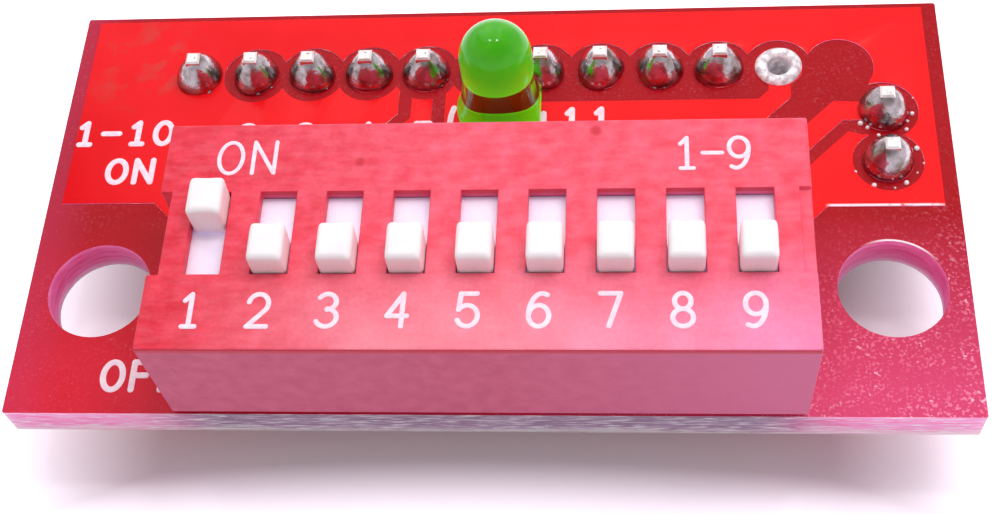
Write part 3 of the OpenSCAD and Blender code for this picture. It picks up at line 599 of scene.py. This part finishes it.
# ---- LED ----
# A 3 mm LED, cast in two pours: milky green resin in the dome and clear olive resin below it. A glowing
# lime bowl above the flange is painted light, for light that the lens gathers there. The clear resin flares
# softly into the flange.
def clear_material():
    """Clear epoxy with an olive cast, as smooth as its mould. Shadow rays pass straight through it, so that
    the resin inside is lit."""
    material, tree, coords = new_material("clear epoxy")
    inputs = {
        "Base Color": "#c9cf6a",
        "Roughness": 0.03,
        "IOR": 1.5,
        "Transmission Weight": 1.0,
        "Normal": add(tree, "Bump", {"Height": cloudy(tree, coords, 0.8), "Distance": 0.004 * MM}),
    }
    glass = add(tree, "BsdfPrincipled", inputs)
    through = add(tree, "BsdfTransparent", {"Color": "#eef0b8"})
    shadow = add(tree, "LightPath").outputs["Is Shadow Ray"]
    add(tree, "OutputMaterial", {"Surface": add(tree, "MixShader", {0: shadow, 1: glass, 2: through})})
    return material


def green_material(low, high, glow, skin=0.0):
    """Green epoxy with a milky filler. It has a painted glow, standing for light gathered by the dome that
    runs down in it, and it turns to lime at a height of low, a painted light. Nearer the axis than skin it is
    painted dark red, standing for the mask seen through it."""
    material, tree, coords = new_material("milky green epoxy with painted glow")
    rise = slope(tree, coords, UP, low, high)
    in_plan = add(tree, "VectorMath", {0: coords, 1: (1, 1, 0)}, operation="MULTIPLY")
    painted_mask_view = near(tree, in_plan, (lens_x, lens_y, 0), skin, skin - 0.1)
    clouds = cloudy(tree, coords, 0.7, 4.0, 0.3, 0.7)
    green = laid_over(tree, "#62e030", laid_over(tree, "#349604", "#4ca414", clouds), rise)
    inputs = {
        "Base Color": laid_over(tree, green, "#a84818", painted_mask_view),
        "Emission Color": laid_over(tree, laid_over(tree, "#52e21e", "#288a06", rise), "#2a0a02", painted_mask_view),
        "Emission Strength": glow,
        "Roughness": 0.04,
        "IOR": 1.5,
        "Specular IOR Level": 0.3,
        "Subsurface Weight": 0.5,
        "Subsurface Radius": (0.5, 1.0, 0.3),
        "Subsurface Scale": 0.7 * MM,
    }
    add(tree, "OutputMaterial", {"Surface": add(tree, "BsdfPrincipled", inputs)})
    return material


def flared(height):
    """The lens's radius: the body's, plus the flange's overhang times u to the power 2.2, where u falls from
    one at the top of the flange to nought at the foot of the dome."""
    u = np.clip((joint_z - height) / (joint_z - flare_z), 0, 1)
    return body_r + (flange_r - 0.05 - body_r) * u**2.2


def turned(radius, height):
    """Rings about the lens's axis, from grids of radius and height with a column for each angle round it.
    They are cut off at the flat side of the flange."""
    x = np.minimum(lens_x + radius * np.cos(round_lens), lens_high[0])
    y = lens_y + radius * np.sin(round_lens)
    return np.stack(np.broadcast_arrays(x, y, height), axis=-1)


lens_low, lens_high = (np.array(corner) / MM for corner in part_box("led_lens"))
lens_y, flange_r = (lens_low[1] + lens_high[1]) / 2, (lens_high[1] - lens_low[1]) / 2
lens_x, lens_z, body_r = lens_low[0] + flange_r, lens_low[2], 1.475
dome_z, joint_z, flare_z = lens_high[2] - body_r, 5.45, lens_z + 0.6
round_lens = np.linspace(0, 2 * np.pi, 96, endpoint=False)
all_round = np.ones(len(round_lens))

# The clear part: a soft flange, the flare and a body that ends inside the green dome
flare = np.linspace(flare_z, joint_z, 14)
heights = np.concatenate([lens_z + np.array([0, 0.06, 0.45, 0.54]), flare, [joint_z + 0.05]])
radii = np.concatenate([flange_r - np.array([0.06, 0, 0, 0.02]), flared(flare), [1.3]])
clear = built("led_clear_lens", [loft(turned(radii[:, None], heights[:, None]))], crease=60)
use(clear, clear_material(), "green_lens", "root", "led_lens")

# The dome: its lower edge sags at the two sides, as the square of the cosine of the angle round. A lip turns
# in under the edge, and the rest stands just proud of the clear body.
proud = 0.006
sag = joint_z - 0.2 * np.cos(round_lens) ** 2
lip = sag + np.array([0.06, 0, 0.02, 0.12])[:, None]
lip_r = flared(lip) + np.array([-0.35, -0.03, 0.004, proud])[:, None]
wall = lip[-1] + (dome_z - lip[-1]) * np.linspace(0.15, 1, 8)[:, None]
bend = np.linspace(0.08, np.pi / 2 - 0.02, 20)[:, None]
dome_heights = np.concatenate([lip, wall, (dome_z + body_r * np.sin(bend)) * all_round])
dome_radii = np.concatenate([lip_r, flared(wall) + proud, body_r * np.cos(bend) * all_round])
dome = built("led_green_dome", [loft(turned(dome_radii, dome_heights))], crease=60)
# The dome's glow is painted light
use(dome, green_material(low=5.3, high=7.4, glow=0.42), "green_lens", "root")

# The lower green: a glowing bowl just inside the clear skin, painted light for light that the lens gathers,
# high at the front and back and low at the two sides, with an inner face that falls from the brim to a floor
brim = 4.3 - 0.6 * np.cos(round_lens) ** 2
foot_z = lens_z + 0.15
outer_z = foot_z + (brim - foot_z) * np.array([0.0, 0.35, 0.7, 0.93, 1.0])[:, None]
outer_r = flared(outer_z) - 0.09
inner_z = np.stack([brim, brim - 0.25, (lens_z + 0.35) * all_round])
inner_r = np.stack([outer_r[-1] - 0.14, outer_r[-1] - 0.3, 0.5 * all_round])
bowl = loft(turned(np.vstack([outer_r, inner_r]), np.vstack([outer_z, inner_z])))
# The bowl's lime glow is painted light
bowl_painted_glow = green_material(low=3.0, high=5.5, glow=0.45, skin=1.34)
use(built("led_painted_glow_bowl", [bowl]), bowl_painted_glow, "green_lens", "root")


# ---- Switch base ----
# One moulding in dark red glass-filled polyester, which carries the terminals and takes the cover's snaps.
# It lies inside the cover.
base_red = moulded_material(
    "dark red glass-filled polyester", "#5a0f18", "#6e1520", roughness=0.5, grain_mm=0.15
)
use(softened("switch_base", width=0.04, steps=2), base_red, "base_moulding", "root", "switch_base")


# ---- Switch cover ----
# Moulded in red polyester, matt, with faint mottling and rubbed streaks. It is deep red at the left, paler
# towards the right, and chalky and paler still towards the front right: a painted sheen.
def cover_material():
    """Reds by place on the moulding, paler towards the right as a painted sheen, with spots of dirt and fine
    scratches, and a fine grain that makes it matt."""
    material, tree, coords = new_material("matt red polyester")
    rightward = slope(tree, coords, RIGHT, -11, -1)
    far_right = slope(tree, coords, RIGHT, 1, 12)
    mottle = cloudy(tree, coords, 0.7, 5.0, 0.35, 0.65)
    left_red = laid_over(tree, "#de2038", "#f0364e", mottle)
    right_red = laid_over(tree, "#f2485e", "#fe627a", mottle)
    red = laid_over(tree, left_red, right_red, rightward)
    # Painted sheen: pale pink towards the front right
    wear_and_sheen = laid_over(tree, "#ff9cae", "#ff98c8", far_right)
    patches = add(tree, "MapRange", {0: cloudy(tree, coords, 3.0, 3.0, 0.35, 0.65), 3: 0.55, 4: 1.0})
    red = laid_over(tree, red, wear_and_sheen, rightward, slope(tree, coords, BACK, -1.0, -4.6), patches)
    along = add(tree, "Mapping", {0: coords, 3: (0.3, 1.0, 1.0)})
    red = laid_over(tree, red, "#ffa4b6", cloudy(tree, along, 0.3, 4.0, 0.4, 0.65), 0.12)
    red = laid_over(tree, red, "#c41c34", cloudy(tree, coords, 0.16, 3.0, 0.35, 0.65), 0.12)

    # The front wall and the slots' end walls have a painted reflection of the pale room, a duller pink, below
    # a line of deep red, but not the walls of the recess in the left end
    normal_y = add(tree, "SeparateXYZ", {0: add(tree, "TexCoord").outputs["Normal"]}).outputs["Y"]
    facing_front = add(tree, "MapRange", {0: normal_y, 1: -0.5, 2: -0.9}, interpolation_type="SMOOTHSTEP")
    front_wall = slope(tree, coords, BACK, -4.8, -5.2, smooth=True)
    only_x = add(tree, "VectorMath", {0: coords, 1: RIGHT}, operation="MULTIPLY")
    among_slots = near(tree, only_x, (0, 0, 0), 11.4, 11.1)
    haze_place = add(tree, "Math", {0: front_wall, 1: among_slots}, operation="MAXIMUM")
    painted_haze = product(tree, facing_front, haze_place)
    pink = laid_over(tree, laid_over(tree, "#cf4c74", "#da5c82", mottle), "#e26c98", far_right)
    red = laid_over(tree, red, pink, painted_haze)
    rim = slope(tree, coords, UP, cover_z - 0.3, cover_z - 0.2, smooth=True)
    red = laid_over(tree, red, "#d21c34", painted_haze, rim, 0.8)

    # Three spots of dirt, by place and radius
    for x, y, radius in ((-4.45, 2.48, 0.28), (4.49, 3.8, 0.32), (5.6, -1.1, 0.2)):
        red = laid_over(tree, red, "#c81828", near(tree, coords, (x, y, cover_z), radius, 0.3 * radius), 0.7)
    inputs = {
        "Base Color": red,
        "Roughness": 0.45,
        "IOR": 1.5,
        "Specular IOR Level": 0.3,
        "Normal": add(tree, "Bump", {"Height": cloudy(tree, coords, 0.14, 3.0), "Distance": 0.012 * MM}),
    }
    add(tree, "OutputMaterial", {"Surface": add(tree, "BsdfPrincipled", inputs)})
    return material


cover_low, cover_high = (np.array(corner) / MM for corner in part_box("switch_cover"))
cover_z = cover_high[2]
cover = softened("switch_cover", width=0.05, steps=3)
use(cover, cover_material(), "cover_moulding", "root", "switch_cover")


# ---- Sliders ----
# White polyester knobs on flat plates. Each is one moulding: a knob with soft corners and hollow front and
# back, a plate that closes the slot, and a keel below that holds the contact spring.
def knob_material():
    """White plastic that lets a little light in, with faint clouds. The plate has a painted glow with a cool
    cast, which stands for light let in by the knob."""
    material, tree, coords = new_material("white polyester")
    raised = slope(tree, coords, UP, plate_top, plate_top + 0.15)
    clouds = cloudy(tree, coords, 0.8, 3.0, 0.3, 0.7)
    plate_white = laid_over(tree, "#f8f4ff", "#f0ecfe", clouds)
    top_white = laid_over(tree, "#ffffff", "#fbf6f6", clouds)
    inputs = {
        "Base Color": laid_over(tree, plate_white, top_white, raised),
        # Painted glow on the plate
        "Emission Color": laid_over(tree, "#b4bcff", "#000000", raised),
        "Emission Strength": 0.12,
        "Roughness": 0.38,
        "IOR": 1.55,
        "Subsurface Weight": 0.25,
        "Subsurface Radius": (1.0, 0.75, 0.7),
        "Subsurface Scale": 0.4 * MM,
        "Normal": add(tree, "Bump", {"Height": cloudy(tree, coords, 0.3, 3.0), "Distance": 0.006 * MM}),
    }
    add(tree, "OutputMaterial", {"Surface": add(tree, "BsdfPrincipled", inputs)})
    return material


def rounded_box(centre, half_x, half_y, low, high, edge, squareness, dish=0.0, lean=0.0):
    """Rings up a box whose plan is a superellipse: cosine and sine raised to 2 / squareness. Its top and
    bottom edges are quarter rounds, its front and back are hollowed by dish, most at the middle, and the
    upper part of its back leans out by lean."""
    angle = np.linspace(0, 2 * np.pi, 64, endpoint=False)
    across = np.sign(np.cos(angle)) * np.abs(np.cos(angle)) ** (2 / squareness)
    along = np.sign(np.sin(angle)) * np.abs(np.sin(angle)) ** (2 / squareness)
    bend = np.linspace(0, np.pi / 2, 6)
    cap = edge + (half_x - edge) * np.array([0.3, 0.6, 0.9])
    inset = np.concatenate([edge * (1 - np.sin(bend)), edge * (1 - np.cos(bend)), cap])
    lower, upper = low + edge * (1 - np.cos(bend)), high - edge * (1 - np.sin(bend))
    height = np.concatenate([lower, upper, np.full(len(cap), high)])[:, None]
    x = (half_x - inset)[:, None] * across
    hollow = 1 - dish / half_y * np.clip(1 - (x / half_x) ** 2, 0, 1)
    y = (half_y - inset * np.minimum(1, half_y / half_x))[:, None] * along * hollow
    y = y + lean * np.clip(y / half_y, 0, 1) * np.clip((height - low) / (high - low) * 3 - 1.2, 0, 1)
    return loft(np.stack(np.broadcast_arrays(centre[0] + x, centre[1] + y, height), axis=-1))


plate_top, plate_bottom, overlap = 6.65, 5.65, 0.1
knob_half, keel_half = (0.665, 0.75), (0.45, 0.55)
knob_white = knob_material()
for node in sorted(frame["nodes"]):
    if node.startswith("slider_"):
        low, high = (np.array(corner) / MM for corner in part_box(node))
        centre, half = (low + high) / 2, (high - low) / 2
        knob_ends = (plate_top - overlap, high[2] - 0.04)
        keel_ends = (low[2] + 0.2, plate_bottom + overlap)
        knob = rounded_box(centre, *knob_half, *knob_ends, edge=0.25, squareness=8, dish=0.04, lean=0.14)
        plate = rounded_box(centre, half[0], half[1], plate_bottom, plate_top, edge=0.05, squareness=24)
        keel = rounded_box(centre, *keel_half, *keel_ends, edge=0.04, squareness=16)
        way = "way_" + node.split("_")[1]
        use(built(node + "_moulding", [knob, plate, keel]), knob_white, "knob_moulding", way, node)


# ---- Printed marks ----
# White epoxy ink, screened on in lines about 0.2 mm wide that stand up 0.02 mm: way numbers and ON on the
# cover, and pin numbers, ON, OFF and the ring round the LED on the board.
def ink_material():
    """White ink with a satin skin, thin in places, so that a little red shows through."""
    material, tree, coords = new_material("white epoxy ink")
    inputs = {
        "Base Color": laid_over(tree, "#f6dcec", "#fdf2fa", cloudy(tree, coords, 0.25, 3.0, 0.35, 0.7)),
        "Roughness": 0.45,
        "IOR": 1.5,
        "Normal": add(tree, "Bump", {"Height": cloudy(tree, coords, 0.1), "Distance": 0.004 * MM}),
    }
    add(tree, "OutputMaterial", {"Surface": add(tree, "BsdfPrincipled", inputs)})
    return material


def bow(x, y, half_w, half_h, start, end):
    """Points on an ellipse about x and y, from one angle to another in degrees."""
    angle = np.radians(np.linspace(start, end, 3 + int(abs(end - start) / 10)))
    return np.stack([x + half_w * np.cos(angle), y + half_h * np.sin(angle)], axis=1)


# The strokes of each figure in a cell one wide and one high
strokes = {
    "0": [bow(0.5, 0.5, 0.5, 0.5, 0, 360)],
    "1": [[(0.55, 0), (0.55, 1)], [(0.55, 1), (0.22, 0.8)], [(0.22, 0), (0.88, 0)]],
    "2": [[*bow(0.5, 0.7, 0.5, 0.3, 170, -38), (0.04, 0.02)], [(0, 0), (1, 0)]],
    "3": [bow(0.47, 0.76, 0.45, 0.24, 150, -90), bow(0.47, 0.27, 0.53, 0.27, 88, -155)],
    "4": [[(0.78, 1), (0, 0.32)], [(0, 0.32), (1, 0.32)], [(0.78, 1), (0.74, 0)]],
    "5": [[(0.94, 1), (0.14, 1)], [(0.14, 1), (0.06, 0.56)], bow(0.48, 0.32, 0.52, 0.32, 146, -155)],
    "6": [bow(0.5, 0.32, 0.5, 0.32, 0, 360), bow(0.66, 0.32, 0.66, 0.68, 180, 68)],
    "7": [[(0, 1), (1, 1)], [(1, 1), (0.42, 0)]],
    "8": [bow(0.5, 0.76, 0.4, 0.24, 0, 360), bow(0.5, 0.26, 0.5, 0.26, 0, 360)],
    "9": [bow(0.5, 0.68, 0.5, 0.32, 0, 360), bow(0.34, 0.68, 0.66, 0.68, 0, -112)],
    "O": [bow(0.5, 0.5, 0.55, 0.5, 0, 360)],
    "N": [[(0, 0), (0, 1)], [(0, 1), (1, 0)], [(1, 0), (1, 1)]],
    "F": [[(0, 0), (0, 1)], [(0, 1), (0.95, 1)], [(0, 0.52), (0.75, 0.52)]],
    "-": [[(0, 0.5), (1, 0.5)]],
}


def inked(path, z, width, rise=0.02):
    """A low ribbon along a flat path, closed if the path is. Half its width is w, and past each open end it
    goes on by w times the cosine of an angle while it narrows to w times the sine, which rounds it off. Its
    section has a flat crown and sloping sides."""
    path = np.array(path, float)
    half, ends = width / 2, not np.allclose(path[0], path[-1])
    if ends:
        along = np.gradient(path, axis=0)
    else:
        path = path[:-1]
        along = np.roll(path, -1, axis=0) - np.roll(path, 1, axis=0)
    along /= np.linalg.norm(along, axis=1, keepdims=True)
    reach = np.full(len(path), half)
    if ends:
        turn = np.radians([8, 30, 52, 72])
        count = len(turn)
        step = half * np.cos(turn)[:, None]
        path = np.vstack([path[0] - along[0] * step, path, path[-1] + along[-1] * step[::-1]])
        along = np.vstack([np.repeat(along[:1], count, axis=0), along, np.repeat(along[-1:], count, axis=0)])
        reach = np.concatenate([half * np.sin(turn), reach, half * np.sin(turn[::-1])])
    side = np.stack([-along[:, 1], along[:, 0]], axis=1) * reach[:, None]
    across = np.array([1, 1, 0.8, -0.8, -1, -1])
    flat = path[:, None, :] + side[:, None, :] * across[None, :, None]
    sunk = 0.06
    heights = z + np.array([-sunk, 0.6 * rise, rise, rise, 0.6 * rise, -sunk])
    return loft(np.dstack([flat, np.broadcast_to(heights, flat.shape[:2])]), closed=not ends)


def lettered(text, x, y, z, size, step, width):
    """Ribbons for a line of figures. The first figure's cell is centred at x and y, and the next are a step
    apart. Each stroke of a figure lies a little higher than the one before."""
    skins = []
    for i, figure in enumerate(text):
        corner = np.array([x + i * step, y]) - np.array(size) / 2
        for k, stroke in enumerate(strokes[figure]):
            skins.append(inked(corner + np.array(stroke) * size, z, width, rise=0.02 + 0.004 * k))
    return skins


ink = ink_material()
first_way, number_y, word_y = middle("slider_1")[0] - 0.18, cover_low[1] + 1.6, cover_high[1] - 1.58
marks = lettered("123456789", first_way, number_y, cover_z, (0.72, 1.32), pitch, 0.19)
marks += lettered("ON", cover_low[0] + 2.56, word_y, cover_z, (0.84, 1.42), 1.31, 0.16)
marks += lettered("1-9", cover_high[0] - 4.55, word_y, cover_z, (0.72, 1.36), 0.98, 0.17)
use(built("cover_print", marks), ink, "knob_moulding", "root")

front_y, line_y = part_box("board")[0].y / MM, row_y - 3.05
board_figure, board_line = (0.72, 1.12), 0.25
marks = lettered("1-10", -18.0, line_y, board_z, board_figure, 1.17, board_line)
marks += lettered("2345", row_x + pitch, line_y - 0.22, board_z, board_figure, pitch, board_line)
marks += lettered("ON", -16.25, line_y - 1.98, board_z, board_figure, 1.18, board_line)
marks += lettered("11", 3.25, line_y + 0.4, board_z, (0.6, 1.12), 1.25, board_line)
marks += lettered("OFF", -14.75, front_y + 1.62, board_t, (0.72, 1.2), 1.18, board_line)
ring_r, flat_x = 2.35, lens_high[0] + 0.05
marks.append(inked(bow(lens_x, lens_y, ring_r, ring_r, 160, 314), board_z, board_line))
marks.append(inked([(flat_x, lens_y - 1.7), (flat_x, lens_y + 0.45)], board_z, board_line, rise=0.024))
use(built("board_print", marks), ink, "knob_moulding", "root")
